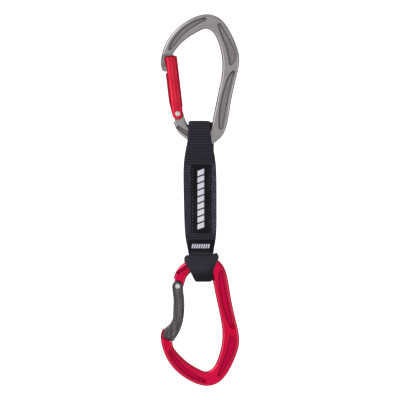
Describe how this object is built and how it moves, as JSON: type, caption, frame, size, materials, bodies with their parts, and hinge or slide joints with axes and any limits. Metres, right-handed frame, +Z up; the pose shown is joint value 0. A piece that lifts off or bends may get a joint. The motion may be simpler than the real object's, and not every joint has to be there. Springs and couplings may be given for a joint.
{
  "type": "climbing quickdraw",
  "caption": "Climbing quickdraw: a straight-gate and a bent-gate carabiner with I-beam frames, joined by a wide sewn tape sling with a rubber keeper.",
  "frame": {"origin": "the point inside the upper carabiner's wide basket where a bolt hanger bears, on the middle plane", "axes": "+Z up along the hanging quickdraw, +X towards the spines of both carabiners, -Y towards the face with the labels"},
  "size_m": [0.06, 0.0186, 0.2828],
  "materials": {
    "grey_anodised": "satin grey anodised forged aluminium",
    "red_anodised_frame": "bright red anodised forged aluminium",
    "red_anodised_gate": "bright red anodised machined bar",
    "dark_anodised_gate": "dark grey anodised machined bar",
    "steel": "plain stainless rivet",
    "plunger_steel": "turned steel pin",
    "spring_steel": "music wire",
    "webbing": "black nylon tape with ribs across it",
    "thread": "black bonded thread",
    "label": "black woven label with plain white bars",
    "rubber": "matt moulded rubber"
  },
  "bodies": {
    "upper_carabiner": {"upper_frame": "grey_anodised", "upper_rivet": "steel"},
    "upper_gate_body": {"upper_gate": "red_anodised_gate", "upper_gate_spring": "spring_steel"},
    "upper_plunger_body": {"upper_plunger": "plunger_steel"},
    "sling_upper_loop": {"webbing_upper_loop": "webbing"},
    "sling_middle": {"webbing_middle": "webbing", "large_label": "label", "label_stitching": "thread", "upper_bar_tack": "thread", "middle_bar_tack": "thread", "lower_bar_tack": "thread"},
    "lower_carabiner": {"webbing_lower_loop": "webbing", "small_label": "label", "rubber_keeper": "rubber", "lower_frame": "red_anodised_frame", "lower_rivet": "steel"},
    "lower_gate_body": {"lower_gate": "dark_anodised_gate", "lower_gate_spring": "spring_steel"},
    "lower_plunger_body": {"lower_plunger": "plunger_steel"}
  },
  "joints": [
    {"name": "upper_gate_hinge", "type": "hinge", "parent": "upper_carabiner", "child": "upper_gate_body", "pos_m": [-0.0219, 0, -0.0647], "axis": [0, 1, 0], "range_deg": [0, 38], "stiffness_Nm_per_rad": 0.22, "springref_deg": -37.82, "deforming": ["upper_gate_spring"]},
    {"name": "upper_plunger_slide", "type": "slide", "parent": "upper_gate_body", "child": "upper_plunger_body", "axis": [-0.1158, 0, 0.9933], "range_m": [0, 0.0025]},
    {"name": "sling_swing", "type": "hinge", "parent": "upper_carabiner", "child": "sling_upper_loop", "pos_m": [-0.0048, 0, -0.0712], "axis": [0, 1, 0], "range_deg": [-7, 15]},
    {"name": "upper_neck_bend", "type": "hinge", "parent": "sling_upper_loop", "child": "sling_middle", "pos_m": [-0.0051, 0, -0.0995], "axis": [1, 0, 0], "range_deg": [-50, 50]},
    {"name": "lower_neck_bend", "type": "hinge", "parent": "sling_middle", "child": "lower_carabiner", "pos_m": [-0.0044, 0, -0.1584], "axis": [1, 0, 0], "range_deg": [-30, 30], "stiffness_Nm_per_rad": 0.1},
    {"name": "lower_gate_hinge", "type": "hinge", "parent": "lower_carabiner", "child": "lower_gate_body", "pos_m": [-0.0219, 0, -0.1957], "axis": [0, -1, 0], "range_deg": [0, 36], "stiffness_Nm_per_rad": 0.22, "springref_deg": -37.82, "deforming": ["lower_gate_spring"]},
    {"name": "lower_plunger_slide", "type": "slide", "parent": "lower_gate_body", "child": "lower_plunger_body", "axis": [0, 0, -1], "range_m": [0, 0.0025]}
  ],
  "couplings": [
    {"joint": "upper_plunger_slide", "follows": "upper_gate_hinge", "m_per_rad": 0.003619},
    {"joint": "lower_plunger_slide", "follows": "lower_gate_hinge", "m_per_rad": 0.003619}
  ]
}
